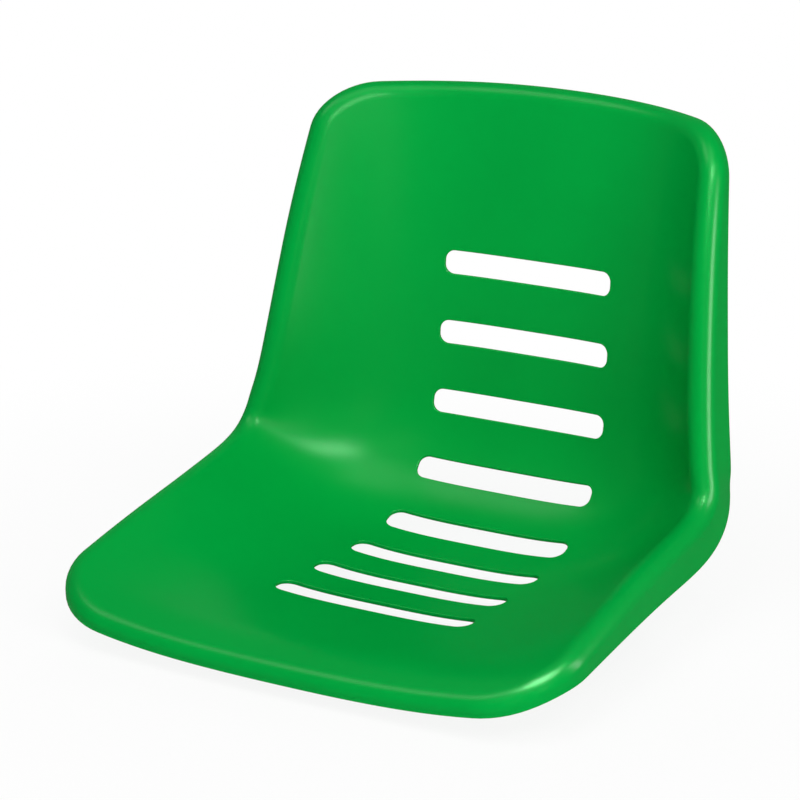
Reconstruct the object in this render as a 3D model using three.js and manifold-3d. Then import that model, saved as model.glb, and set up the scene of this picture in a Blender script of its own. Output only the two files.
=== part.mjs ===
// A one-piece moulded stadium seat: a bucket shell with eight slots and a turned-down rim.
// Millimetres, +Z up, the sitter faces -Y and X = 0 is the plane of symmetry.
import * as THREE from 'three';
import Module from 'manifold-3d';
import { mergeVertices } from 'three/addons/utils/BufferGeometryUtils.js';

// Shell wall and its length along the middle, from the front edge over the bend to the top edge
const wall = 3.5;
const developedLength = 687;
const frontEdgeHeight = 28;

// The middle line starts nose-up at the front edge and then makes four smooth turns, in degrees
const frontNoseAngle = 12;
const waterfallLength = 50;
const waterfallTurn = -16;
const dishStart = 60;
const dishLength = 200;
const dishTurn = 4;
const bendStart = 212;
const bendLength = 276;
const bendTurn = 85;
const leanLength = 200;
const leanTurn = -4;

// Half width at equal stations from the front edge to the top edge
const hipHalfWidth = 201;
const halfWidthShares = [1.05, 1.005, 1, 0.915, 0.835];

// How far the sides stand up from the middle, and how sharply they curve up towards the rim
const deepestSideRise = 84;
const sideRiseShares = [0.14, 0.57, 0.835, 1, 0.87, 0.6];
const sideCurvePower = 3.25;

// Outline of the flattened sheet: corner radii, and the bow of the front and top edges
const frontCornerRadius = 49;
const topCornerRadius = 30;
const frontBow = 8.5;
const topBow = 13;

// The rim rolls over at this outer radius and runs on as a flange that hangs down all round
const rimRadius = 12;
const flangeDraft = 2;
const deepestFlange = 26;
const flangeShares = [0.12, 0.67, 0.98, 1, 0.7, 0.05];

// Slots: four across the seat and its bend, then four up the back, each shorter than the last
const frontSlotLength = 176;
const slotShortening = 3.1;
const seatSlotCount = 4;
const seatSlotStart = 137;
const seatSlotPitch = 56;
const seatSlotWidth = 23;
const seatSlotCorner = 10;
const backSlotCount = 4;
const backSlotGap = 60;
const backSlotPitch = 60;
const backSlotWidth = 20;
const backSlotCorner = 8;

// Four fixing bosses under the pan, whose end faces share the plane Z = 0
const bossSpacingAcross = 260;
const bossSpacingAlong = 180;
const frontBossAlong = 106;
const bossFaceRadius = 15;
const bossRootRadius = 18;

// Threaded metal inserts moulded into the bosses, with a knurled band at each end
const insertRadius = 6.25;
const insertLength = 16;
const insertBoreRadius = 3.4;
const insertGrooveDepth = 0.8;
const insertGrooveLength = 3;
const insertChamfer = 0.9;
const insertFit = 0.3;

// Stiffening ribs and gussets between and beside the bosses
const ribThickness = 3;
const ribFootHeight = 9;
const ribArch = 8;
const gussetFootHeight = 12;
const gussetReach = 56;

// One overrun serves every cut, and one fine step serves every slope
const overrun = 6;
const probe = 0.25;

// Facet counts
const profileSteps = 400;
const panRows = 30;
const panColumns = 20;
const cornerRows = 5;
const rollSteps = 6;
const slotCornerSteps = 3;
const roundSides = 20;
const archSteps = 6;
// Degrees of turn that count as much as the average row when rows are spaced out
const rowTurnWeight = 9;

const wasm = await Module();
wasm.setup();

const toRadians = THREE.MathUtils.degToRad;
const smoothStep = THREE.MathUtils.smootherstep;

const turns = [
  { from: 0, over: waterfallLength, angle: waterfallTurn },
  { from: dishStart, over: dishLength, angle: dishTurn },
  { from: bendStart, over: bendLength, angle: bendTurn },
  { from: developedLength - leanLength, over: leanLength, angle: leanTurn },
];

// Slope of the middle line in degrees, measured up from horizontal
function slopeAt(along) {
  let slope = frontNoseAngle;
  for (const turn of turns) {
    slope += turn.angle * smoothStep(along, turn.from, turn.from + turn.over);
  }
  return slope;
}

// A smooth curve through values at equal stations from the front edge to the top edge
function throughStations(values, along) {
  const share = THREE.MathUtils.clamp(along / developedLength, 0, 1) * (values.length - 1);
  const left = Math.min(Math.floor(share), values.length - 2);
  const t = share - left;
  const tangentAt = (index) => {
    const before = Math.max(index - 1, 0);
    const after = Math.min(index + 1, values.length - 1);
    return (values[after] - values[before]) / (after - before);
  };
  const rise = values[left + 1] - values[left];
  const bend = (1 - t) * (tangentAt(left) - rise) - t * (tangentAt(left + 1) - rise);
  return values[left] + rise * t + bend * t * (1 - t);
}

const halfWidthAt = (along) => hipHalfWidth * throughStations(halfWidthShares, along);
const sideRiseAt = (along) => deepestSideRise * throughStations(sideRiseShares, along);
const flangeAt = (along) => deepestFlange * throughStations(flangeShares, along);

// The middle line itself, added up step by step a little past both edges
const profileTable = [];
const profileMargin = frontCornerRadius;
const profileStep = (developedLength + 2 * profileMargin) / profileSteps;
{
  const point = new THREE.Vector2(-profileMargin * Math.cos(toRadians(frontNoseAngle)), 0);
  point.y = frontEdgeHeight - profileMargin * Math.sin(toRadians(frontNoseAngle));
  for (let i = 0; i <= profileSteps; i += 1) {
    profileTable.push(point.clone());
    const slope = toRadians(slopeAt(-profileMargin + (i + 0.5) * profileStep));
    point.x += Math.cos(slope) * profileStep;
    point.y += Math.sin(slope) * profileStep;
  }
}

function profilePoint(along) {
  const place = (along + profileMargin) / profileStep;
  const left = THREE.MathUtils.clamp(Math.floor(place), 0, profileSteps - 1);
  return new THREE.Vector2().lerpVectors(profileTable[left], profileTable[left + 1], place - left);
}

// Square to the middle line, on the sitter's side
function profileNormal(along) {
  const slope = toRadians(slopeAt(along));
  return new THREE.Vector3(0, -Math.sin(slope), Math.cos(slope));
}

// Upper face of the sheet: the middle line, with the sides curving up square to it
function facePoint(along, across) {
  const middle = profilePoint(along);
  const share = Math.abs(across) / halfWidthAt(along);
  const rise = sideRiseAt(along) * share ** sideCurvePower;
  return new THREE.Vector3(across, middle.x, middle.y).addScaledVector(profileNormal(along), rise);
}

function faceNormal(along, across) {
  const lengthwise = facePoint(along + probe, across).sub(facePoint(along - probe, across));
  const crosswise = facePoint(along, across + probe).sub(facePoint(along, across - probe));
  return crosswise.cross(lengthwise).normalize();
}

// Rows of the flattened outline: round corners at both ends, closer rows where the shell turns
function outlineRows() {
  const rows = [];
  for (let i = 0; i < cornerRows; i += 1) {
    const angle = (Math.PI / 2) * (i / cornerRows);
    rows.push({
      along: frontCornerRadius * (1 - Math.cos(angle)),
      inset: frontCornerRadius * (1 - Math.sin(angle)),
    });
  }
  const start = frontCornerRadius;
  const end = developedLength - topCornerRadius;
  const measures = [0];
  for (let i = 1; i <= profileSteps; i += 1) {
    const along = start + ((end - start) * i) / profileSteps;
    const before = start + ((end - start) * (i - 1)) / profileSteps;
    const turned = Math.abs(slopeAt(along) - slopeAt(before)) / rowTurnWeight;
    measures.push(measures[i - 1] + panRows / profileSteps + turned);
  }
  let step = 0;
  for (let i = 0; i <= panRows; i += 1) {
    const wanted = (measures[profileSteps] * i) / panRows;
    while (step < profileSteps && measures[step] < wanted) {
      step += 1;
    }
    rows.push({ along: start + ((end - start) * step) / profileSteps, inset: 0 });
  }
  for (let i = cornerRows - 1; i >= 0; i -= 1) {
    const angle = (Math.PI / 2) * (i / cornerRows);
    rows.push({
      along: developedLength - topCornerRadius * (1 - Math.cos(angle)),
      inset: topCornerRadius * (1 - Math.sin(angle)),
    });
  }
  return rows;
}

// Where a row and a column cross on the flattened sheet
function sheetPlace(row, column) {
  const halfWidth = halfWidthAt(row.along);
  const across = ((2 * column) / panColumns - 1) * (halfWidth - row.inset);
  const share = across / halfWidth;
  const frontShare = Math.max(1 - (2 * row.along) / developedLength, 0);
  const topShare = Math.max((2 * row.along) / developedLength - 1, 0);
  const bowed = frontBow * frontShare ** 2 - topBow * topShare ** 2;
  return { along: row.along + bowed * share ** 2, across };
}

// Row and column of each place on the edge of the grid, anticlockwise from the front left
function edgeLoop(rowCount) {
  const loop = [];
  for (let column = 0; column < panColumns; column += 1) {
    loop.push([0, column]);
  }
  for (let row = 0; row < rowCount - 1; row += 1) {
    loop.push([row, panColumns]);
  }
  for (let column = panColumns; column > 0; column -= 1) {
    loop.push([rowCount - 1, column]);
  }
  for (let row = rowCount - 1; row > 0; row -= 1) {
    loop.push([row, 0]);
  }
  return loop;
}

// The section of the rim at one place: a roll from the face, then the hanging flange
function rimSection(place, tangent) {
  const edge = facePoint(place.along, place.across);
  const outward = tangent.clone().cross(faceNormal(place.along, place.across)).normalize();
  const normal = outward.clone().cross(tangent).normalize();
  const down = profileNormal(place.along).negate();
  down.addScaledVector(tangent, -down.dot(tangent)).normalize();
  const roll = Math.atan2(-down.dot(normal), down.dot(outward)) - toRadians(flangeDraft);
  const centre = edge.clone().addScaledVector(normal, -rimRadius);
  const ring = (radius, angle) => centre.clone()
    .addScaledVector(outward, radius * Math.sin(angle))
    .addScaledVector(normal, radius * Math.cos(angle));
  const flange = outward.clone().multiplyScalar(Math.cos(roll));
  flange.addScaledVector(normal, -Math.sin(roll)).multiplyScalar(flangeAt(place.along));
  const section = { outer: [], inner: [] };
  for (let i = 0; i <= rollSteps; i += 1) {
    section.outer.push(ring(rimRadius, (roll * i) / rollSteps));
    section.inner.push(ring(rimRadius - wall, (roll * i) / rollSteps));
  }
  section.outer.push(section.outer[rollSteps].clone().add(flange));
  section.inner.push(section.inner[rollSteps].clone().add(flange));
  return section;
}

// The bare shell as one closed surface: upper face, rim, lip, back of the rim and lower face
function shellGeometry() {
  const rows = outlineRows();
  const places = rows.map((row) => {
    const line = [];
    for (let column = 0; column <= panColumns; column += 1) {
      line.push(sheetPlace(row, column));
    }
    return line;
  });
  const loop = edgeLoop(rows.length);
  const edgePoints = loop.map(([row, column]) => {
    const place = places[row][column];
    return facePoint(place.along, place.across);
  });
  const sections = loop.map(([row, column], index) => {
    const next = edgePoints[(index + 1) % loop.length];
    const previous = edgePoints[(index + loop.length - 1) % loop.length];
    return rimSection(places[row][column], next.clone().sub(previous).normalize());
  });
  const positions = [];
  const addPoint = (point) => positions.push(point.x, point.y, point.z) / 3 - 1;
  const onEdge = new Map(loop.map(([row, column], index) => [row * (panColumns + 1) + column, index]));
  const faces = { outer: [], inner: [] };
  for (const side of ['outer', 'inner']) {
    for (let row = 0; row < rows.length; row += 1) {
      for (let column = 0; column <= panColumns; column += 1) {
        const edgeIndex = onEdge.get(row * (panColumns + 1) + column);
        const place = places[row][column];
        let point = facePoint(place.along, place.across);
        if (side === 'inner') {
          point.addScaledVector(faceNormal(place.along, place.across), -wall);
        }
        if (edgeIndex !== undefined) {
          point = sections[edgeIndex][side][0];
        }
        faces[side].push(addPoint(point));
      }
    }
  }
  const indices = [];
  const addQuad = (a, b, c, d) => indices.push(a, b, c, a, c, d);
  for (let row = 0; row < rows.length - 1; row += 1) {
    for (let column = 0; column < panColumns; column += 1) {
      const near = row * (panColumns + 1) + column;
      const far = near + panColumns + 1;
      const { outer, inner } = faces;
      addQuad(outer[near], outer[near + 1], outer[far + 1], outer[far]);
      addQuad(inner[near + 1], inner[near], inner[far], inner[far + 1]);
    }
  }
  const rings = [];
  for (const side of ['outer', 'inner']) {
    const sideRings = [loop.map(([row, column]) => faces[side][row * (panColumns + 1) + column])];
    for (let i = 1; i <= rollSteps + 1; i += 1) {
      sideRings.push(sections.map((section) => addPoint(section[side][i])));
    }
    rings.push(...(side === 'outer' ? sideRings : sideRings.reverse()));
  }
  for (let i = 0; i < rings.length - 1; i += 1) {
    for (let index = 0; index < loop.length; index += 1) {
      const next = (index + 1) % loop.length;
      addQuad(rings[i][next], rings[i][index], rings[i + 1][index], rings[i + 1][next]);
    }
  }
  const geometry = new THREE.BufferGeometry();
  geometry.setAttribute('position', new THREE.Float32BufferAttribute(positions, 3));
  geometry.setIndex(indices);
  return geometry;
}

// Everything above the middle of the pan's wall, to trim what stands under the pan
function abovePanGeometry() {
  const positions = [];
  const indices = [];
  const lastAlong = bendStart + bendLength / 2;
  const reachAcross = (along) => halfWidthAt(along) - rimRadius;
  for (const lift of [0, developedLength]) {
    for (let row = 0; row <= panRows; row += 1) {
      for (let column = 0; column <= panColumns; column += 1) {
        const along = (lastAlong * row) / panRows;
        const across = ((2 * column) / panColumns - 1) * reachAcross(along);
        const point = facePoint(along, across);
        point.addScaledVector(faceNormal(along, across), -wall / 2);
        positions.push(point.x, point.y, point.z + lift);
      }
    }
  }
  const rowStride = panColumns + 1;
  const layer = rowStride * (panRows + 1);
  const addQuad = (a, b, c, d) => indices.push(a, b, c, a, c, d);
  for (let row = 0; row < panRows; row += 1) {
    for (let column = 0; column < panColumns; column += 1) {
      const near = row * rowStride + column;
      const far = near + rowStride;
      addQuad(near + 1, near, far, far + 1);
      addQuad(near + layer, near + 1 + layer, far + 1 + layer, far + layer);
    }
  }
  const loop = edgeLoop(panRows + 1).map(([row, column]) => row * rowStride + column);
  loop.forEach((here, index) => {
    const next = loop[(index + 1) % loop.length];
    addQuad(here, next, next + layer, here + layer);
  });
  const geometry = new THREE.BufferGeometry();
  geometry.setAttribute('position', new THREE.Float32BufferAttribute(positions, 3));
  geometry.setIndex(indices);
  return geometry;
}

// A closed geometry as a solid that can be joined and cut
function toSolid(source) {
  const bare = source.clone();
  bare.deleteAttribute('normal');
  bare.deleteAttribute('uv');
  const merged = mergeVertices(bare, probe / 1000);
  return new wasm.Manifold(new wasm.Mesh({
    numProp: 3,
    vertProperties: Float32Array.from(merged.attributes.position.array),
    triVerts: Uint32Array.from(merged.index.array),
  }));
}

function toGeometry(solid) {
  const mesh = solid.getMesh();
  const geometry = new THREE.BufferGeometry();
  const positions = new Float32Array((mesh.vertProperties.length / mesh.numProp) * 3);
  for (let i = 0; i < positions.length / 3; i += 1) {
    positions.set(mesh.vertProperties.subarray(i * mesh.numProp, i * mesh.numProp + 3), i * 3);
  }
  geometry.setAttribute('position', new THREE.BufferAttribute(positions, 3));
  geometry.setIndex(new THREE.BufferAttribute(Uint32Array.from(mesh.triVerts), 1));
  geometry.computeVertexNormals();
  return geometry;
}

// A slot's cutter: a round-cornered bar square to the shell at its middle line
function slotCutter({ along, length, width, corner }) {
  const shape = new THREE.Shape();
  const x = length / 2 - corner;
  const y = width / 2 - corner;
  shape.absarc(x, -y, corner, -Math.PI / 2, 0);
  shape.absarc(x, y, corner, 0, Math.PI / 2);
  shape.absarc(-x, y, corner, Math.PI / 2, Math.PI);
  shape.absarc(-x, -y, corner, Math.PI, 1.5 * Math.PI);
  const depth = wall + sideRiseAt(along) + 2 * overrun;
  const geometry = new THREE.ExtrudeGeometry(shape, {
    depth,
    curveSegments: slotCornerSteps,
    bevelEnabled: false,
  });
  geometry.translate(0, 0, -wall - overrun);
  const normal = profileNormal(along);
  const crosswise = new THREE.Vector3(1, 0, 0);
  const lengthwise = normal.clone().cross(crosswise);
  const frame = new THREE.Matrix4().makeBasis(crosswise, lengthwise, normal);
  geometry.applyMatrix4(frame.setPosition(facePoint(along, 0)));
  return toSolid(geometry);
}

// Length along the middle line at which the pan passes over a place on the floor plan
function alongAt(lengthwise) {
  const index = profileTable.findIndex((point) => point.x >= lengthwise);
  return (index < 0 ? profileSteps : index) * profileStep - profileMargin;
}

// Underside of the pan over a place on the floor plan
function undersideHeight(across, lengthwise) {
  return facePoint(alongAt(lengthwise), across).z - wall;
}

// A revolved outline standing on the plane Z = 0, with its axis upright
function revolved(outline) {
  const points = outline.map(([radius, height]) => new THREE.Vector2(radius, height));
  const geometry = new THREE.LatheGeometry(points, roundSides);
  geometry.rotateX(Math.PI / 2);
  return geometry;
}

// A web cut from a side view: the outline is [away, height] pairs, the thickness is centred
function web(outline, thickness, alongY) {
  const shape = new THREE.Shape(outline.map(([away, height]) => new THREE.Vector2(away, height)));
  const geometry = new THREE.ExtrudeGeometry(shape, { depth: thickness, bevelEnabled: false });
  geometry.translate(0, 0, -thickness / 2);
  geometry.rotateX(Math.PI / 2);
  if (alongY) {
    geometry.rotateZ(Math.PI / 2);
  }
  return geometry;
}

// Side view of a rib between two bosses, its free edge arched up in the middle
function archedOutline(span, topHeight) {
  const outline = [[span / 2, topHeight], [-span / 2, topHeight]];
  for (let i = 0; i <= archSteps; i += 1) {
    const share = (2 * i) / archSteps - 1;
    outline.push([(share * span) / 2, ribFootHeight + ribArch * (1 - share ** 2)]);
  }
  return outline;
}

const bossCentres = [
  { end: 'front', side: 'left', x: -bossSpacingAcross / 2, y: frontBossAlong },
  { end: 'front', side: 'right', x: bossSpacingAcross / 2, y: frontBossAlong },
  { end: 'rear', side: 'left', x: -bossSpacingAcross / 2, y: frontBossAlong + bossSpacingAlong },
  { end: 'rear', side: 'right', x: bossSpacingAcross / 2, y: frontBossAlong + bossSpacingAlong },
];

// Bosses, ribs and gussets, still without their pockets and not yet trimmed to the pan
function undersideParts() {
  const parts = [];
  for (const { x, y } of bossCentres) {
    const height = undersideHeight(x, y) + deepestSideRise;
    const boss = revolved([
      [0, 0],
      [bossFaceRadius, 0],
      [bossRootRadius, undersideHeight(x, y)],
      [bossRootRadius, height],
      [0, height],
    ]);
    parts.push(boss.translate(x, y, 0));
    const away = Math.sign(x);
    const farHeight = undersideHeight(Math.abs(x) + gussetReach, y);
    const gusset = web([
      [0, gussetFootHeight],
      [gussetReach, farHeight],
      [gussetReach, farHeight + deepestSideRise],
      [0, farHeight + deepestSideRise],
    ], ribThickness, false);
    parts.push((away < 0 ? gusset.rotateZ(Math.PI) : gusset).translate(x, y, 0));
  }
  const middleAlong = frontBossAlong + bossSpacingAlong / 2;
  const lengthOutline = archedOutline(bossSpacingAlong, frontEdgeHeight + deepestSideRise);
  for (const side of [-1, 1]) {
    const rib = web(lengthOutline, ribThickness, true);
    parts.push(rib.translate((side * bossSpacingAcross) / 2, middleAlong, 0));
  }
  const crossOutline = archedOutline(bossSpacingAcross, frontEdgeHeight + deepestSideRise);
  parts.push(web(crossOutline, ribThickness, false).translate(0, frontBossAlong, 0));
  return parts;
}

// The pocket that holds an insert, clear of it all round by the fit
function pocketCutter({ x, y }) {
  const radius = insertRadius + insertFit;
  const depth = insertLength + 2 * insertFit;
  const pocket = revolved([[0, -overrun], [radius, -overrun], [radius, depth], [0, depth]]);
  return toSolid(pocket.translate(x, y, 0));
}

function slotPlaces() {
  const places = [];
  for (let i = 0; i < seatSlotCount; i += 1) {
    places.push({
      along: seatSlotStart + i * seatSlotPitch,
      length: frontSlotLength - i * slotShortening,
      width: seatSlotWidth,
      corner: seatSlotCorner,
    });
  }
  const lastSeatSlot = seatSlotStart + (seatSlotCount - 1) * seatSlotPitch;
  for (let i = 0; i < backSlotCount; i += 1) {
    places.push({
      along: lastSeatSlot + backSlotGap + i * backSlotPitch,
      length: frontSlotLength - (seatSlotCount + i) * slotShortening,
      width: backSlotWidth,
      corner: backSlotCorner,
    });
  }
  return places;
}

function seatShell() {
  let below = wasm.Manifold.union(undersideParts().map(toSolid));
  below = below.subtract(toSolid(abovePanGeometry()));
  let shell = toSolid(shellGeometry()).add(below);
  for (const boss of bossCentres) {
    shell = shell.subtract(pocketCutter(boss));
  }
  for (const place of slotPlaces()) {
    shell = shell.subtract(slotCutter(place));
  }
  return toGeometry(shell);
}

// A threaded insert: two knurled bands with a groove between them, its bore chamfered at the mouth
function insertGeometry() {
  const grooveRadius = insertRadius - insertGrooveDepth;
  const bandLength = (insertLength - insertGrooveLength) / 2;
  return revolved([
    [insertBoreRadius, insertChamfer],
    [insertBoreRadius + insertChamfer, 0],
    [insertRadius, 0],
    [insertRadius, bandLength],
    [grooveRadius, bandLength],
    [grooveRadius, bandLength + insertGrooveLength],
    [insertRadius, bandLength + insertGrooveLength],
    [insertRadius, insertLength],
    [insertBoreRadius, insertLength],
    [insertBoreRadius, insertChamfer],
  ]);
}

const polypropylene = new THREE.MeshStandardMaterial({ color: 0x009a3c, roughness: 0.3, metalness: 0 });
const brass = new THREE.MeshStandardMaterial({ color: 0xb8923f, roughness: 0.35, metalness: 1 });

const seat = new THREE.Group();
const shell = new THREE.Mesh(seatShell(), polypropylene);
shell.name = 'seat_shell';
seat.add(shell);
for (const { end, side, x, y } of bossCentres) {
  const insert = new THREE.Mesh(insertGeometry(), brass);
  insert.name = `insert_${end}_${side}`;
  insert.position.set(x, y, insertFit);
  seat.add(insert);
}

// The origin lies on the floor plane under the middle of the seat
shell.geometry.computeBoundingBox();
const { min, max } = shell.geometry.boundingBox;
seat.position.y = -(min.y + max.y) / 2;

export default seat;
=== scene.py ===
import math

import bpy
import numpy as np
from mathutils import Matrix, Vector


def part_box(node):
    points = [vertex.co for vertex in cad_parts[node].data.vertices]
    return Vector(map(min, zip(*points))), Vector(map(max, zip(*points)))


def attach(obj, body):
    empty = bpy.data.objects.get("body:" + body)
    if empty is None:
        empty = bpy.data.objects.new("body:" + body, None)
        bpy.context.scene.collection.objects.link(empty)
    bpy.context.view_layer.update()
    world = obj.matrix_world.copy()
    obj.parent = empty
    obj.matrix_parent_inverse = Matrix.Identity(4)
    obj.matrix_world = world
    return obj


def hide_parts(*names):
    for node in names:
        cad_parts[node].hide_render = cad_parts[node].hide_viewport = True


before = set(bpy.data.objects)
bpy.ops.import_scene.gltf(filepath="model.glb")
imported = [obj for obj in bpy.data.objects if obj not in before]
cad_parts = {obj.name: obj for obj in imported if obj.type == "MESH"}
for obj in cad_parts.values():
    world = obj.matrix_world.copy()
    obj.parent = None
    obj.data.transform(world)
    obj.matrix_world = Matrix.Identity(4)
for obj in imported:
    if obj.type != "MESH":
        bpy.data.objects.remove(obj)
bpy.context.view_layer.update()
print("frame loaded:", ", ".join(sorted(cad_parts)))

# Metres and degrees. Lengths along the seat run up its middle, from the front edge to the top edge.
seatForm = {
    "wall": 0.0035,
    "length": 0.687,
    "frontHeight": 0.028,                 # front edge of the pan above the boss faces
    "noseAngle": 12,
    "turns": [(0.000, 0.050, -16),        # start, length and turn of the waterfall front
              (0.060, 0.200, 4),          # the dish of the pan
              (0.212, 0.276, 85),         # the bend up into the back
              (0.487, 0.200, -4)],        # the back leans away at the top
    "halfWidth": 0.201,
    "widthShares": [1.05, 1.005, 1, 0.915, 0.835],
    "sideRise": 0.084,
    "riseShares": [0.14, 0.57, 0.835, 1, 0.87, 0.6],
    "sidePower": 3.25,
    "frontCorner": 0.049,
    "topCorner": 0.030,
    "frontBow": 0.0085,
    "topBow": 0.013,
    "rootStep": 0.00003,                  # bosses and ribs flare out to this far below the pan
}
bossForm = {
    "across": 0.130,                      # from the middle of the seat
    "frontAlong": 0.106,                  # from the front edge
    "spacing": 0.180,
    "faceRadius": 0.015,
    "rootRadius": 0.018,
    "flare": 0.005,                       # radius between boss and pan
    "flareSteps": 8,
    "edgeRadius": 0.0012,
    "edgeSteps": 4,
    "pocketRadius": 0.0063,
    "pocketDepth": 0.0166,
    "mouthRadius": 0.0004,
    "shankShares": (0.25, 0.5),           # heights of the rings between the face and the flare
    "roofRadii": (0.014, 0.007),          # rings inside the pan's wall, which close the top
    "sides": 72,
}
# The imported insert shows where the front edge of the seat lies.
frontLine = sum(corner[1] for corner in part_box("insert_front_left")) / 2 - bossForm["frontAlong"]


def smoothStep(t):
    t = np.clip(t, 0, 1)
    return t ** 3 * (t * (t * 6 - 15) + 10)


def slopeAt(along):
    slope = np.full(np.shape(along), float(seatForm["noseAngle"]))
    for start, length, turn in seatForm["turns"]:
        slope = slope + turn * smoothStep((along - start) / length)
    return np.radians(slope)


def throughStations(values, along):
    # a smooth curve through values at equal stations
    values = np.array(values, float)
    last = len(values) - 1
    share = np.clip(np.asarray(along) / seatForm["length"], 0, 1) * last
    left = np.minimum(np.floor(share).astype(int), last - 1)
    t = share - left
    tangents = np.gradient(values)
    rise = values[left + 1] - values[left]
    bend = (1 - t) * (tangents[left] - rise) - t * (tangents[left + 1] - rise)
    return values[left] + rise * t + bend * t * (1 - t)


def makeMiddleLine(samples=3000):
    # places along the seat, with the depth and height of each, and a margin at both ends
    margin = seatForm["frontCorner"]
    along = np.linspace(-margin, seatForm["length"] + margin, samples)
    slope = slopeAt((along[1:] + along[:-1]) / 2)
    step = along[1] - along[0]
    y = np.concatenate([[0], np.cumsum(np.cos(slope) * step)])
    z = np.concatenate([[0], np.cumsum(np.sin(slope) * step)])
    y += frontLine - np.interp(0, along, y)
    z += seatForm["frontHeight"] - np.interp(0, along, z)
    return along, y, z


middleLine = makeMiddleLine()


def unit(vectors, leastLength=1e-12):
    return vectors / np.maximum(np.linalg.norm(vectors, axis=-1, keepdims=True), leastLength)


def profileNormal(along):
    slope = slopeAt(along)
    return np.stack([np.zeros_like(slope), -np.sin(slope), np.cos(slope)], -1)


def halfWidthAt(along):
    return seatForm["halfWidth"] * throughStations(seatForm["widthShares"], along)


def facePoint(along, across):
    # the sitter's face: the middle line, with the sides curving up square to it
    along, across = np.broadcast_arrays(np.asarray(along, float), np.asarray(across, float))
    share = np.abs(across) / halfWidthAt(along)
    rise = seatForm["sideRise"] * throughStations(seatForm["riseShares"], along)
    rise = rise * share ** seatForm["sidePower"]
    y = np.interp(along, middleLine[0], middleLine[1])
    z = np.interp(along, middleLine[0], middleLine[2])
    return np.stack([across, y, z], -1) + profileNormal(along) * rise[..., None]


def faceNormal(along, across, probe=0.0004):
    lengthwise = facePoint(along + probe, across) - facePoint(along - probe, across)
    crosswise = facePoint(along, across + probe) - facePoint(along, across - probe)
    return unit(np.cross(crosswise, lengthwise))


def undersideAt(x, y, passes=7):
    # height and downward normal of the pan's underside over a place on the floor plan
    x, y = np.broadcast_arrays(np.asarray(x, float), np.asarray(y, float))
    along, across = y - frontLine, x.copy()
    for step in range(passes):
        normal = faceNormal(along, across)
        point = facePoint(along, across) - normal * seatForm["wall"]
        along = along + y - point[..., 1]
        across = across + x - point[..., 0]
    return point[..., 2], -normal


# A surface is put together from rows of points, each with its own normal.
def newSurface():
    return {"points": [], "normals": [], "faces": [], "count": 0}


def addRow(surface, points, normals):
    surface["points"].append(np.asarray(points, float))
    surface["normals"].append(unit(np.asarray(normals, float)))
    start = surface["count"]
    surface["count"] += len(points)
    return np.arange(start, start + len(points))


def addStrip(surface, near, far):
    for i in range(len(near)):
        j = (i + 1) % len(near)
        surface["faces"].append((near[i], near[j], far[j], far[i]))


def addCap(surface, ring, centre, normal):
    middle = addRow(surface, [centre], [normal])[0]
    for i in range(len(ring)):
        surface["faces"].append((ring[i], ring[(i + 1) % len(ring)], middle))


def makeMesh(name, surface, material):
    points, normals = np.concatenate(surface["points"]), np.concatenate(surface["normals"])
    mesh = bpy.data.meshes.new(name)
    mesh.from_pydata(points.tolist(), [], [tuple(int(i) for i in face) for face in surface["faces"]])
    mesh.polygons.foreach_set("use_smooth", [True] * len(mesh.polygons))
    mesh.normals_split_custom_set_from_vertices(normals.tolist())
    mesh.materials.append(material)
    mesh.update()
    thing = bpy.data.objects.new(name, mesh)
    bpy.context.scene.collection.objects.link(thing)
    return thing


def makePiece(name, surface, material, slotName, *nodes):
    piece = makeMesh(name, surface, material)
    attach(piece, "root")
    if nodes:
        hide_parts(*nodes)
    return piece


slotForm = {
    "seat": {"count": 4, "start": 0.137, "pitch": 0.056, "width": 0.023, "corner": 0.010},
    "back": {"count": 4, "start": 0.365, "pitch": 0.060, "width": 0.020, "corner": 0.008},
    "frontLength": 0.176,
    "shortening": 0.0031,                 # each slot is this much shorter than the one before it
    "edgeRadius": 0.0011,                 # softened edge of each slot, above and below
    "edgeSteps": 4,
    "longArc": 7,                         # mesh cells in half a corner, on the long and the short sides
    "shortArc": 4,
    "brimShares": (0.45, 0.8),            # rings between the slot's window in the mesh and its edge
}
rimForm = {
    "radius": 0.012,
    "lead": 0.0025,                       # the roll begins this far inside the sheet's outline
    "ease": 0.15,                         # and tightens over about this angle, in radians
    "draft": 2,                           # the flange hangs this many degrees outward
    "flange": 0.026,                      # deepest, beside the bend
    "flangeShares": [0.12, 0.67, 0.98, 1, 0.7, 0.05],
    "lipRadius": 0.0010,
    "rollSteps": 22,
    "rollCrowding": 1.4,                  # above 1 the steps stand closer where the roll begins
    "flangeSteps": 3,
    "lipSteps": 4,
}
sheetForm = {
    "rowStep": 0.0050,
    "cornerRows": 14,
    "slotMargin": 0.006,                  # finer mesh this far round each slot
    "slotRows": 9,
    "slotColumns": 48,                    # over the width that the slots take
    "slotShare": 0.49,                    # that width, as a share of the sheet's
    "sideColumns": 22,                    # on each side of it
}


def listSlots():
    slots = []
    for kind in ("seat", "back"):
        form = slotForm[kind]
        for i in range(form["count"]):
            length = slotForm["frontLength"] - len(slots) * slotForm["shortening"]
            slots.append({"along": form["start"] + i * form["pitch"], "length": length, **form})
    return slots


def quarterTurn(steps):
    return np.linspace(0, math.pi / 2, steps + 1)


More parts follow.
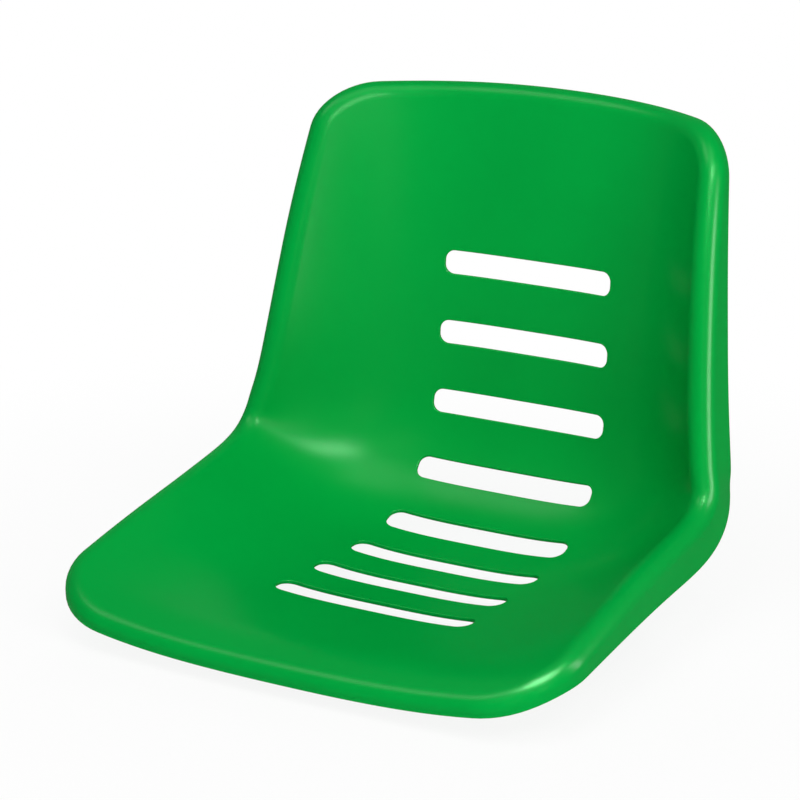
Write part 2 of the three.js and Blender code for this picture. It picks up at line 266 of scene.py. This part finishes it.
def sheetRows(slots):
    # where each row lies along the seat, how far it is drawn in, and which rows the slots begin with
    front, top, lead = seatForm["frontCorner"], seatForm["topCorner"], rimForm["lead"]
    frontRadius, topRadius, topStart = front - lead, top - lead, seatForm["length"] - top
    angles = quarterTurn(sheetForm["cornerRows"])
    rows = [(front - frontRadius * math.cos(a), front - frontRadius * math.sin(a)) for a in angles[:-1]]
    windows = []
    here = front
    for slot in slots:
        reach = slot["width"] / 2 + sheetForm["slotMargin"]
        start, end = slot["along"] - reach, slot["along"] + reach
        count = max(1, round((start - here) / sheetForm["rowStep"]))
        rows += [(s, lead) for s in np.linspace(here, start, count, endpoint=False)]
        windows.append(len(rows))
        rows += [(s, lead) for s in np.linspace(start, end, sheetForm["slotRows"], endpoint=False)]
        here = end
    count = round((topStart - here) / sheetForm["rowStep"])
    rows += [(s, lead) for s in np.linspace(here, topStart, count, endpoint=False)]
    rows += [(topStart + topRadius * math.cos(a), top - topRadius * math.sin(a)) for a in angles[::-1]]
    return np.array(rows), windows


def sheetPlaces(rows):
    inner = np.linspace(-sheetForm["slotShare"], sheetForm["slotShare"], sheetForm["slotColumns"] + 1)
    outer = np.linspace(sheetForm["slotShare"], 1, sheetForm["sideColumns"] + 1)[1:]
    columns = np.concatenate([-outer[::-1], inner, outer])
    halfWidth = halfWidthAt(rows[:, 0])[:, None]
    across = columns[None] * (halfWidth - rows[:, 1:2])
    frontShare = np.clip(1 - 2 * rows[:, 0:1] / seatForm["length"], 0, 1)
    topShare = np.clip(2 * rows[:, 0:1] / seatForm["length"] - 1, 0, 1)
    bow = seatForm["frontBow"] * frontShare ** 2 - seatForm["topBow"] * topShare ** 2
    return rows[:, 0:1] + bow * (across / halfWidth) ** 2, across


def edgeOf(rowCount, columnCount, row0=0, column0=0):
    # edge of a block of grid points, anticlockwise from its front left corner
    loop = [(row0, column0 + c) for c in range(columnCount - 1)]
    loop += [(row0 + r, column0 + columnCount - 1) for r in range(rowCount - 1)]
    loop += [(row0 + rowCount - 1, column0 + c) for c in range(columnCount - 1, 0, -1)]
    loop += [(row0 + r, column0) for r in range(rowCount - 1, 0, -1)]
    return tuple(np.array(loop).T)


def slotOutline(slot, offset):
    # as many points as the slot's window has, anticlockwise from the same corner
    radius = slot["corner"] + offset
    x, y = slot["length"] / 2 - slot["corner"], slot["width"] / 2 - slot["corner"]
    longSide = sheetForm["slotColumns"], slotForm["longArc"]
    shortSide = sheetForm["slotRows"], slotForm["shortArc"]
    corners = np.array([(-x, -y), (x, -y), (x, y), (-x, y)])
    outline = []
    for side, (cells, arc) in enumerate((longSide, shortSide, longSide, shortSide)):
        start, end, facing = corners[side], corners[(side + 1) % 4], 90 * (side - 1)
        straight = cells - 2 * arc
        turns = [facing - 45 + 45 * i / arc for i in range(arc)] + [facing] * straight
        turns += [facing + 45 * i / arc for i in range(arc)]
        shares = [0] * arc + [i / straight for i in range(straight)] + [1] * arc
        for turn, share in zip(np.radians(turns), shares):
            outward = np.array([math.cos(turn), math.sin(turn)])
            outline.append(start + (end - start) * share + outward * radius)
    outline = np.array(outline)
    return slot["along"] + outline[:, 1], outline[:, 0]


def addSlot(surface, slot, edge, places, upper, lower):
    wall, radius = seatForm["wall"], slotForm["edgeRadius"]
    along, across = places[0][edge], places[1][edge]
    brim = slotOutline(slot, radius)
    hole = slotOutline(slot, 0)
    inward = unit(facePoint(*hole) - facePoint(*brim))

    def flatRing(share, depth, side):
        ring = along + (brim[0] - along) * share, across + (brim[1] - across) * share
        normal = faceNormal(*ring)
        return addRow(surface, facePoint(*ring) - normal * depth, normal * side)

    def edgeRing(angle, side):
        ring = slotOutline(slot, radius * (1 - math.sin(angle)))
        normal = faceNormal(*ring)
        drop = radius * (1 - math.cos(angle))
        depth = drop if side > 0 else wall - drop
        return addRow(surface, facePoint(*ring) - normal * depth,
                      normal * side * math.cos(angle) + inward * math.sin(angle))

    angles, shares = quarterTurn(slotForm["edgeSteps"]), slotForm["brimShares"]
    rings = [upper[edge]] + [flatRing(share, 0, 1) for share in shares]
    rings += [edgeRing(angle, 1) for angle in angles] + [edgeRing(angle, -1) for angle in angles[::-1]]
    rings += [flatRing(share, wall, -1) for share in shares[::-1]] + [lower[edge]]
    for near, far in zip(rings, rings[1:]):
        addStrip(surface, near, far)


def rollRuns(angle):
    # outward and downward run of a round roll, and of a turn whose radius fades away, at each angle
    fade = -1 / rimForm["ease"]
    left = np.exp(fade * angle)
    outRun = (left * (fade * np.cos(angle) + np.sin(angle)) - fade) / (fade ** 2 + 1)
    downRun = (left * (fade * np.sin(angle) - np.cos(angle)) + 1) / (fade ** 2 + 1)
    return np.sin(angle), 1 - np.cos(angle), outRun, downRun


def rimRings(along, across):
    # the roll, the flange that hangs from it, and its rounded lip: outer rings and inner rings
    wall, radius, lip = seatForm["wall"], rimForm["radius"], rimForm["lipRadius"]
    edge = facePoint(along, across)
    tangent = unit(np.roll(edge, -1, 0) - np.roll(edge, 1, 0))
    outward = unit(np.cross(tangent, faceNormal(along, across)))
    normal = unit(np.cross(outward, tangent))
    down = -profileNormal(along)
    down = unit(down - tangent * (down * tangent).sum(-1, keepdims=True))
    roll = np.arctan2(-(down * normal).sum(-1), (down * outward).sum(-1)) - math.radians(rimForm["draft"])
    roll = roll[:, None]
    # a round roll and a fading turn are mixed, so that the sum ends where a round roll on the outline would
    roundOut, roundDown, gentleOut, gentleDown = rollRuns(roll)
    reach = roundOut + rimForm["lead"] / radius
    scale = roundOut * gentleDown - gentleOut * roundDown
    roundShare = (reach * gentleDown - gentleOut * roundDown) / scale * radius
    gentleShare = (roundOut * roundDown - roundDown * reach) / scale * radius
    hang = outward * np.cos(roll) - normal * np.sin(roll)
    facing = outward * np.sin(roll) + normal * np.cos(roll)
    outerRings, innerRings = [], []
    for share in np.linspace(0, 1, rimForm["rollSteps"] + 1) ** rimForm["rollCrowding"]:
        turned = outward * np.sin(roll * share) + normal * np.cos(roll * share)
        roundOut, roundDown, gentleOut, gentleDown = rollRuns(roll * share)
        point = edge + outward * (roundShare * roundOut + gentleShare * gentleOut)
        point = point - normal * (roundShare * roundDown + gentleShare * gentleDown)
        outerRings.append((point, turned))
        innerRings.append((point - turned * wall, -turned))
    foot = outerRings[-1][0]
    depth = rimForm["flange"] * throughStations(rimForm["flangeShares"], along)[:, None] - lip
    for share in np.linspace(0, 1, rimForm["flangeSteps"] + 1)[1:]:
        outerRings.append((foot + hang * depth * share, facing))
        innerRings.append((foot - facing * wall + hang * depth * share, -facing))
    for angle in quarterTurn(rimForm["lipSteps"])[1:]:
        outer = facing * math.cos(angle) + hang * math.sin(angle)
        inner = -facing * math.cos(angle) + hang * math.sin(angle)
        outerRings.append((foot + hang * depth - facing * lip + outer * lip, outer))
        innerRings.append((foot + hang * depth - facing * (wall - lip) + inner * lip, inner))
    return outerRings, innerRings


def makeShell(material):
    surface = newSurface()
    slots = listSlots()
    rows, windows = sheetRows(slots)
    places = sheetPlaces(rows)
    points, normals = facePoint(*places), faceNormal(*places)
    shape = places[0].shape
    rim = edgeOf(*shape)
    outerRings, innerRings = rimRings(places[0][rim], places[1][rim])
    under, underNormals = points - normals * seatForm["wall"], -normals
    normals[rim] = outerRings[0][1]
    under[rim], underNormals[rim] = innerRings[0]
    upper = addRow(surface, points.reshape(-1, 3), normals.reshape(-1, 3)).reshape(shape)
    lower = addRow(surface, under.reshape(-1, 3), underNormals.reshape(-1, 3)).reshape(shape)
    solid = np.ones((shape[0] - 1, shape[1] - 1), bool)
    rowCount, columnCount = sheetForm["slotRows"], sheetForm["slotColumns"]
    firstColumn = sheetForm["sideColumns"]
    for slot, firstRow in zip(slots, windows):
        solid[firstRow:firstRow + rowCount, firstColumn:firstColumn + columnCount] = False
        window = edgeOf(rowCount + 1, columnCount + 1, firstRow, firstColumn)
        addSlot(surface, slot, window, places, upper, lower)
    for r, c in zip(*np.nonzero(solid)):
        surface["faces"].append((upper[r, c], upper[r, c + 1], upper[r + 1, c + 1], upper[r + 1, c]))
        surface["faces"].append((lower[r, c + 1], lower[r, c], lower[r + 1, c], lower[r + 1, c + 1]))
    rings = [upper[rim]] + [addRow(surface, *ring) for ring in outerRings[1:]]
    rings += [addRow(surface, *ring) for ring in innerRings[:0:-1]] + [lower[rim]]
    for near, far in zip(rings, rings[1:]):
        addStrip(surface, far, near)
    makePiece("seatShell", surface, material, "shell_plastic", "seat_shell")


def bossPlaces():
    places = []
    for side, across in (("Left", -bossForm["across"]), ("Right", bossForm["across"])):
        for end, along in (("Front", 0), ("Rear", bossForm["spacing"])):
            places.append((end + side, across, frontLine + bossForm["frontAlong"] + along))
    return places


def spokes(sides):
    # directions that point outward all round, and the angle of each
    turn = np.linspace(0, 2 * math.pi, sides, endpoint=False)
    return np.stack([np.cos(turn), np.sin(turn), np.zeros(sides)], -1), turn


def makeBoss(name, x, y, material):
    form, surface = bossForm, newSurface()
    away = spokes(form["sides"])[0]
    down = np.array([0, 0, -1.0])
    face, edge, root, flare = form["faceRadius"], form["edgeRadius"], form["rootRadius"], form["flare"]

    def ring(radius, height, outward, downward):
        points = np.array([x, y, 0]) + away * radius
        points[:, 2] = height
        return addRow(surface, points, away * outward + down * downward)

    def rootRing(radius, lift, angle):
        points = np.array([x, y, 0]) + away * radius
        height, normal = undersideAt(points[:, 0], points[:, 1])
        points[:, 2] = height + lift
        return addRow(surface, points, away * math.cos(angle) + normal * math.sin(angle))

    # from the pocket over the face, up the shank to its flare, then in again inside the pan's wall
    pocket, mouth = form["pocketRadius"], form["mouthRadius"]
    rings = [ring(pocket, form["pocketDepth"], -1, 0), ring(pocket, mouth, -1, 0)]
    for a in quarterTurn(2)[1:]:
        sine, cosine = math.sin(a), math.cos(a)
        rings.append(ring(pocket + mouth * (1 - cosine), mouth * (1 - sine), -cosine, sine))
    rings.append(ring(face - edge, 0, 0, 1))
    for a in quarterTurn(form["edgeSteps"])[1:]:
        sine, cosine = math.sin(a), math.cos(a)
        rings.append(ring(face - edge * (1 - sine), edge * (1 - cosine), sine, cosine))
    height = undersideAt(x, y)[0]
    slant = (root - face) / height
    for share in form["shankShares"]:
        z = edge + (height - flare - edge) * share
        rings.append(ring(face + slant * z, z, 1, slant))
    for a in quarterTurn(form["flareSteps"]):
        lift = -flare * (1 - math.sin(a)) - seatForm["rootStep"]
        rings.append(rootRing(root + flare * (1 - math.cos(a)), lift, a))
    inside = seatForm["wall"] / 2
    rings += [rootRing(radius, inside, -math.pi / 2) for radius in (root + flare, *form["roofRadii"])]
    for near, far in zip(rings, rings[1:]):
        addStrip(surface, near, far)
    addCap(surface, rings[-1], (x, y, height + inside), (0, 0, 1))
    addCap(surface, rings[0][::-1], (x, y, form["pocketDepth"]), (0, 0, -1))
    makePiece(name, surface, material, "shell_plastic")


ribForm = {
    "thickness": 0.0030,
    "footHeight": 0.009,                  # lower edge of the long ribs where they meet the bosses
    "arch": 0.008,
    "gussetFoot": 0.012,
    "gussetReach": 0.056,
    "clearOfPocket": 0.011,               # the webs begin this far from a boss's middle
    "flare": 0.0025,
    "flareSteps": 6,
    "leastFlare": 0.00005,                # where a gusset runs out into the pan
    "edgeRadius": 0.0012,
    "edgeSteps": 8,
    "leastHeight": 0.0001,                # of a web below the pan
    "leastEdgeHeight": 0.00004,           # of its rounded edge, all of which stays below the pan
    "ribStations": 90,
    "gussetStations": 40,
}


def makeWeb(name, start, end, edgeHeight, clearStart, clearEnd, material, stations):
    # an upright web under the pan, with a rounded free edge and a flared root that follows the pan
    form = ribForm
    start, end = np.array(start, float), np.array(end, float)
    span = np.linalg.norm(end - start)
    forward = unit(end - start)
    sideways = np.array([forward[1], -forward[0]])
    half, edge = form["thickness"] / 2, form["edgeRadius"]
    shares = np.linspace(clearStart / span, 1 - clearEnd / span, stations)[:, None]
    middle = start + (end - start) * shares
    top = undersideAt(*middle.T)[0][:, None]
    low = np.minimum(edgeHeight(shares), top - form["leastHeight"])
    flare = np.minimum(form["flare"], np.maximum(top - low - edge, form["leastFlare"]))
    low = np.minimum(low, top - flare)
    angles = quarterTurn(form["flareSteps"])[None, ::-1]

    def rootSide(sign):
        spots = middle[:, None] + sideways * (sign * (half + flare * (1 - np.cos(angles))))[..., None]
        height, normal = undersideAt(spots[..., 0], spots[..., 1])
        height = height - flare * (1 - np.sin(angles)) - seatForm["rootStep"]
        outward = np.array([*sideways, 0]) * sign * np.cos(angles)[..., None]
        return np.dstack([spots, height]), outward + normal * np.sin(angles)[..., None]

    turn = np.linspace(-math.pi / 2, math.pi / 2, form["edgeSteps"] + 1)[None]
    spots = middle[:, None] + sideways * ((half - edge) * np.sign(turn) + edge * np.sin(turn))[..., None]
    height = np.minimum(low + edge * (1 - np.cos(turn)), top - form["leastEdgeHeight"])
    footPoints = np.dstack([spots, height])
    turn = turn[..., None]
    footNormals = np.array([*sideways, 0]) * np.sin(turn) - np.array([0, 0, 1]) * np.cos(turn)
    footNormals = np.broadcast_to(footNormals, footPoints.shape)
    roofSpots = middle[:, None] + sideways * np.array([[1.0], [-1.0]]) * (half + form["flare"])
    roofPoints = np.dstack([roofSpots, np.repeat(top + seatForm["wall"] / 2, 2, 1)])
    roofNormals = np.broadcast_to((0, 0, 1.0), roofPoints.shape)
    leftPoints, leftNormals = rootSide(-1)
    rightPoints, rightNormals = rootSide(1)
    points = np.concatenate([leftPoints, footPoints, rightPoints[:, ::-1], roofPoints], 1)
    normals = np.concatenate([leftNormals, footNormals, rightNormals[:, ::-1], roofNormals], 1)
    surface = newSurface()
    sections = [addRow(surface, *section) for section in zip(points, normals)]
    for near, far in zip(sections, sections[1:]):
        addStrip(surface, far, near)
    addCap(surface, sections[0], points[0].mean(0), (*-forward, 0))
    addCap(surface, sections[-1][::-1], points[-1].mean(0), (*forward, 0))
    makePiece(name, surface, material, "shell_plastic")


def makeRibs(material):
    form, clear = ribForm, ribForm["clearOfPocket"]
    places = {name: (x, y) for name, x, y in bossPlaces()}

    def arched(share):
        return form["footHeight"] + form["arch"] * (1 - (2 * share - 1) ** 2)

    for name, start, end in (("ribLeft", "FrontLeft", "RearLeft"),
                             ("ribRight", "FrontRight", "RearRight"),
                             ("ribFront", "FrontLeft", "FrontRight")):
        makeWeb(name, places[start], places[end], arched, clear, clear, material, form["ribStations"])
    for name, (x, y) in places.items():
        tip = x + math.copysign(form["gussetReach"], x)
        climb = undersideAt(tip, y)[0] - form["gussetFoot"]
        makeWeb("gusset" + name, (x, y), (tip, y), lambda share: form["gussetFoot"] + climb * share,
                clear, 0, material, form["gussetStations"])


insertForm = {
    "radius": 0.00625,
    "length": 0.016,
    "boreRadius": 0.0034,
    "boreChamfer": 0.0009,
    "threadRadius": 0.0040,
    "threadSlope": 1.35,                  # above 1 the crests and roots of the thread are flat
    "crestShare": 0.1,
    "threadRows": 106,
    "pitch": 0.00125,
    "grooveDepth": 0.0008,
    "grooveLength": 0.003,
    "knurlDepth": 0.00025,
    "knurls": 36,
    "bandRows": 5,
    "endChamfer": 0.0005,
    "endStep": 0.0001,                    # the knurls begin this far inside the chamfer
    "lift": 0.0003,                       # the end face lies this far inside the boss face
    "sides": 72,
}


def makeInsert(name, node, x, y, material):
    form, surface = insertForm, newSurface()
    away, turn = spokes(form["sides"])
    length, bore, outer, chamfer = form["length"], form["boreRadius"], form["radius"], form["endChamfer"]

    def threaded(height):
        phase = (height / form["pitch"] - turn / (2 * math.pi)) % 1
        depth = np.clip(form["threadSlope"] * np.abs(2 * phase - 1) - form["crestShare"], 0, 1)
        cut = bore + (form["threadRadius"] - bore) * depth
        mouth = bore + form["boreChamfer"] - min(height, length - height)
        return np.maximum(cut, mouth)

    lowBand = (length - form["grooveLength"]) / 2
    highBand = lowBand + form["grooveLength"]
    knurled = outer - form["knurlDepth"] * np.abs(2 * ((turn * form["knurls"] / (2 * math.pi)) % 1) - 1)
    groove = np.full(form["sides"], outer - form["grooveDepth"])
    face = np.full(form["sides"], outer - chamfer)
    # down the thread from its upper end, over the lower end face, and back up the outside
    rows = [(threaded(height), height) for height in np.linspace(length, 0, form["threadRows"])]
    rows += [(face, 0), (knurled - form["endStep"], chamfer - form["endStep"])]
    rows += [(knurled, height) for height in np.linspace(chamfer, lowBand, form["bandRows"])]
    rows += [(groove, lowBand), (groove, highBand)]
    rows += [(knurled, height) for height in np.linspace(highBand, length - chamfer, form["bandRows"])]
    rows.append((face, length))
    rings = []
    for radius, height in rows:
        points = np.array([x, y, form["lift"] + height]) + away * radius[:, None]
        rings.append(addRow(surface, points, away))
    for near, far in zip(rings, rings[1:] + rings[:1]):
        addStrip(surface, near, far)
    piece = makePiece(name, surface, material, "insert_brass", node)
    piece.data.polygons.foreach_set("use_smooth", [False] * len(piece.data.polygons))


# The camera stands where the photograph was taken from, fitted to the seat's outline and slots.
viewForm = {
    "azimuth": 30.079,
    "elevation": 17.067,
    "roll": 0.244,
    "aim": (0.2263, -0.4210, 0.3227),
    "distance": 1.882,
    "lens": 135.93,                       # millimetres, as is the sensor's width
    "sensor": 36,
}


def directionTo(azimuth, elevation):
    azimuth, elevation = math.radians(azimuth), math.radians(elevation)
    return Vector((math.sin(azimuth) * math.cos(elevation), -math.cos(azimuth) * math.cos(elevation),
                   math.sin(elevation)))


def makeCamera():
    back = directionTo(viewForm["azimuth"], viewForm["elevation"])
    data = bpy.data.cameras.new("camera")
    data.lens = viewForm["lens"]
    data.sensor_width = viewForm["sensor"]
    camera = bpy.data.objects.new("camera", data)
    bpy.context.scene.collection.objects.link(camera)
    roll = Matrix.Rotation(math.radians(viewForm["roll"]), 3, "Z")
    turn = (-back).to_track_quat("-Z", "Y").to_matrix() @ roll
    place = Vector(viewForm["aim"]) + back * viewForm["distance"]
    camera.matrix_world = Matrix.Translation(place) @ turn.to_4x4()
    bpy.context.scene.camera = camera


def addNode(nodes, kind, values=None, **settings):
    node = nodes.new(kind)
    for name, value in settings.items():
        setattr(node, name, value)
    for name, value in (values or {}).items():
        node.inputs[name].default_value = value
    return node


def newMaterial(name):
    material = bpy.data.materials.new(name)
    material.use_nodes = True
    nodes = material.node_tree.nodes
    return material, nodes, material.node_tree.links, nodes["Principled BSDF"]


def addNoise(nodes, links, scale, detail, roughness):
    # noise in metres, fixed to the piece
    place = addNode(nodes, "ShaderNodeTexCoord")
    noise = addNode(nodes, "ShaderNodeTexNoise", {"Scale": scale, "Detail": detail, "Roughness": roughness})
    links.new(place.outputs["Object"], noise.inputs["Vector"])
    return noise.outputs["Fac"]


def addSpread(nodes, links, source, low, high):
    # spreads the middle of a noise over the range from low to high
    spread = addNode(nodes, "ShaderNodeMapRange", {"From Min": 0.3, "From Max": 0.7})
    spread.inputs["To Min"].default_value = low
    spread.inputs["To Max"].default_value = high
    links.new(source, spread.inputs["Value"])
    return spread.outputs["Result"]


def addTone(nodes, links, share, first, second):
    # a colour between two, by a share that varies over the piece
    tone = addNode(nodes, "ShaderNodeMix", data_type="RGBA")
    tone.inputs["A"].default_value = (*first, 1)
    tone.inputs["B"].default_value = (*second, 1)
    links.new(share, tone.inputs["Factor"])
    return tone.outputs["Result"]


def addBump(nodes, links, height, strength, depth):
    bump = addNode(nodes, "ShaderNodeBump", {"Strength": strength, "Distance": depth})
    links.new(height, bump.inputs["Height"])
    return bump.outputs["Normal"]


plasticFinish = {
    "green": (0.0, 0.365, 0.049),
    "shade": (0.0, 0.343, 0.046),         # a shade deeper, in faint clouds
    "cloudScale": 9,
    "gloss": 0.08,                        # a thin, even gloss that stays weak at flat angles
    "glossRoughness": 0.27,
    "unevenness": 0.009,                  # size of the faint waves that moulding leaves
    "waveDepth": 0.000012,
}


def makePlastic():
    finish = plasticFinish
    material, nodes, links, shader = newMaterial("mouldedPlastic")
    shader.inputs["Specular IOR Level"].default_value = 0.0
    shader.inputs["Coat Weight"].default_value = finish["gloss"]
    shader.inputs["Coat Roughness"].default_value = finish["glossRoughness"]
    clouds = addNoise(nodes, links, scale=finish["cloudScale"], detail=3, roughness=0.5)
    waves = addNoise(nodes, links, scale=1 / finish["unevenness"], detail=1, roughness=0.4)
    tone = addTone(nodes, links, addSpread(nodes, links, clouds, 0, 1), finish["green"], finish["shade"])
    links.new(tone, shader.inputs["Base Color"])
    bump = addBump(nodes, links, waves, strength=1.0, depth=finish["waveDepth"])
    links.new(bump, shader.inputs["Normal"])
    links.new(bump, shader.inputs["Coat Normal"])
    return material


brassFinish = {
    "brass": (0.62, 0.43, 0.13),
    "tarnish": (0.34, 0.22, 0.07),
    "tarnishMost": 0.8,                   # share of the tarnish where it is deepest
    "roughness": (0.22, 0.42),
    "stainScale": 260,
    "turningScale": 2600,                 # the fine marks that turning leaves
    "turningDepth": 0.00005,
}


def makeBrass():
    finish = brassFinish
    material, nodes, links, shader = newMaterial("turnedBrass")
    shader.inputs["Metallic"].default_value = 1.0
    stain = addNoise(nodes, links, scale=finish["stainScale"], detail=5, roughness=0.6)
    turning = addNoise(nodes, links, scale=finish["turningScale"], detail=1, roughness=0.5)
    share = addSpread(nodes, links, stain, 0, finish["tarnishMost"])
    tone = addTone(nodes, links, share, finish["brass"], finish["tarnish"])
    links.new(tone, shader.inputs["Base Color"])
    links.new(addSpread(nodes, links, stain, *finish["roughness"]), shader.inputs["Roughness"])
    bump = addBump(nodes, links, turning, strength=0.2, depth=finish["turningDepth"])
    links.new(bump, shader.inputs["Normal"])
    return material


studioForm = {
    "worldStrength": 0.05,                # of the world's light, though the world itself looks plain white
    "lampDistance": 2.2,
    "lampAim": (0, 0, 0.2),
    "lamps": [                            # from: azimuth to the right of the front, and elevation
        {"name": "keyBox", "from": (46, 42), "size": (0.7, 0.6), "power": 8.8},
        {"name": "sideBox", "from": (68, 18), "size": (0.4, 0.8), "power": 8.6},
        {"name": "shoulderBox", "from": (75, 45), "size": (0.8, 0.8), "power": 7},
        {"name": "topBox", "from": (20, 75), "size": (1.2, 1.2), "power": 14.5},
        {"name": "frontBox", "from": (5, 36), "size": (0.9, 0.9), "power": 5},
        {"name": "lowBox", "from": (30, 10), "size": (0.8, 0.8), "power": 9, "inGloss": False},
        {"name": "leftBox", "from": (-40, 60), "size": (0.9, 0.9), "power": 4},
        {"name": "backBox", "from": (215, 12), "size": (1.2, 1.2), "power": 30, "inGloss": False},
    ],
    "glints": [                           # lamps that show only in the gloss, most of them near the seat
        {"name": "hipGlint", "size": (0.16, 0.16), "power": 4,
         "place": (0.25, -0.24, 0.62), "aim": (0, 0, 0.1)},
        {"name": "bendGlint", "size": (0.16, 0.16), "power": 4,
         "place": (0.30, -0.12, 0.60), "aim": (0, 0, 0.1)},
        {"name": "cornerGlint", "size": (0.16, 0.11), "power": 4,
         "place": (0.23, -0.20, 0.24), "aim": (0.24, -0.28, 0.04)},
        {"name": "rimGlint", "size": (0.11, 0.32), "power": 6,
         "place": (0.45, 0.03, 0.26), "aim": (0.20, 0.10, 0.26)},
        {"name": "edgeGlint", "size": (1.0, 0.8), "power": 30,
         "place": (-1.01, -0.58, 2.07), "aim": (0, 0, 0.2)},
        {"name": "trailGlint", "size": (1.2, 1.6), "power": 30,
         "place": (0.21, -0.57, 2.31), "aim": (0, 0, 0.2)},
    ],
}


def addSeen(nodes, links):
    # 1 where the camera, a reflection or a see-through surface looks, and 0 for the light itself
    path = addNode(nodes, "ShaderNodeLightPath")
    first = addNode(nodes, "ShaderNodeMath", operation="MAXIMUM")
    second = addNode(nodes, "ShaderNodeMath", operation="MAXIMUM")
    links.new(path.outputs["Is Camera Ray"], first.inputs[0])
    links.new(path.outputs["Is Glossy Ray"], first.inputs[1])
    links.new(first.outputs[0], second.inputs[0])
    links.new(path.outputs["Is Transmission Ray"], second.inputs[1])
    return second.outputs[0]


def addLamp(lamp, place, aim):
    data = bpy.data.lights.new(lamp["name"], "AREA")
    data.shape = "RECTANGLE"
    data.size, data.size_y = lamp["size"]
    data.energy = lamp["power"]
    light = bpy.data.objects.new(lamp["name"], data)
    light.location = place
    light.rotation_euler = (aim - place).to_track_quat("-Z", "Y").to_euler()
    bpy.context.scene.collection.objects.link(light)
    return light


def makeStudio():
    world = bpy.data.worlds.new("studioWorld")
    bpy.context.scene.world = world
    world.use_nodes = True
    nodes, links = world.node_tree.nodes, world.node_tree.links
    background = nodes["Background"]
    background.inputs["Color"].default_value = (1, 1, 1, 1)
    strength = addNode(nodes, "ShaderNodeMapRange", {"To Min": studioForm["worldStrength"], "To Max": 1})
    links.new(addSeen(nodes, links), strength.inputs["Value"])
    links.new(strength.outputs["Result"], background.inputs["Strength"])
    aim = Vector(studioForm["lampAim"])
    for lamp in studioForm["lamps"]:
        place = aim + directionTo(*lamp["from"]) * studioForm["lampDistance"]
        addLamp(lamp, place, aim).visible_glossy = lamp.get("inGloss", True)
    for lamp in studioForm["glints"]:
        light = addLamp(lamp, Vector(lamp["place"]), Vector(lamp["aim"]))
        light.visible_diffuse = False
        light.visible_camera = False


floorForm = {
    "radius": 4.0,
    "firstRing": 0.1,
    "rings": 24,
    "sides": 96,
    "drop": 0.0003,                       # below the boss faces
    "colour": (0.93, 0.93, 0.93),
    "roughness": 0.95,
    "fade": (0.3, 0.8),                   # between these radii its shading fades out to plain white
    "shadingShare": 0.10,                 # how much of its shading shows near the seat
}


def makePaper():
    form = floorForm
    material, nodes, links, shader = newMaterial("paperFloor")
    shader.inputs["Base Color"].default_value = (*form["colour"], 1)
    shader.inputs["Roughness"].default_value = form["roughness"]
    shader.inputs["Specular IOR Level"].default_value = 0.0
    place = addNode(nodes, "ShaderNodeTexCoord")
    distance = addNode(nodes, "ShaderNodeVectorMath", operation="LENGTH")
    links.new(place.outputs["Object"], distance.inputs[0])
    near, far = form["fade"]
    fade = addNode(nodes, "ShaderNodeMapRange", {"From Min": near, "From Max": far, "To Max": 1},
                   interpolation_type="SMOOTHSTEP")
    fade.inputs["To Min"].default_value = 1 - form["shadingShare"]
    links.new(distance.outputs["Value"], fade.inputs["Value"])
    share = addNode(nodes, "ShaderNodeMath", operation="MULTIPLY")
    links.new(fade.outputs["Result"], share.inputs[0])
    links.new(addSeen(nodes, links), share.inputs[1])
    glow = addNode(nodes, "ShaderNodeEmission", {"Strength": 1.0})
    mix = addNode(nodes, "ShaderNodeMixShader")
    links.new(share.outputs[0], mix.inputs["Fac"])
    links.new(shader.outputs["BSDF"], mix.inputs[1])
    links.new(glow.outputs["Emission"], mix.inputs[2])
    links.new(mix.outputs["Shader"], nodes["Material Output"].inputs["Surface"])
    return material


def makeFloor():
    form, surface = floorForm, newSurface()
    centre, up = np.array([0, 0, -form["drop"]]), np.array([0, 0, 1.0])
    away = spokes(form["sides"])[0]
    rings = []
    for radius in np.linspace(form["firstRing"], form["radius"], form["rings"]):
        rings.append(addRow(surface, centre + away * radius, np.tile(up, (len(away), 1))))
    addCap(surface, rings[0], centre, up)
    for near, far in zip(rings, rings[1:]):
        addStrip(surface, far, near)
    makeMesh("floor", surface, makePaper())


bpy.context.scene.view_settings.view_transform = "Standard"
makeCamera()
makeStudio()
makeFloor()
print("camera, lamps and floor made")
plastic, brass = makePlastic(), makeBrass()
print("plastic and brass made")
makeShell(plastic)
print("shell made")
for name, x, y in bossPlaces():
    makeBoss("boss" + name, x, y, plastic)
    end, side = ("front" if "Front" in name else "rear"), ("left" if "Left" in name else "right")
    makeInsert("insert" + name, f"insert_{end}_{side}", x, y, brass)
print("bosses and inserts made")
makeRibs(plastic)
print("ribs and gussets made")
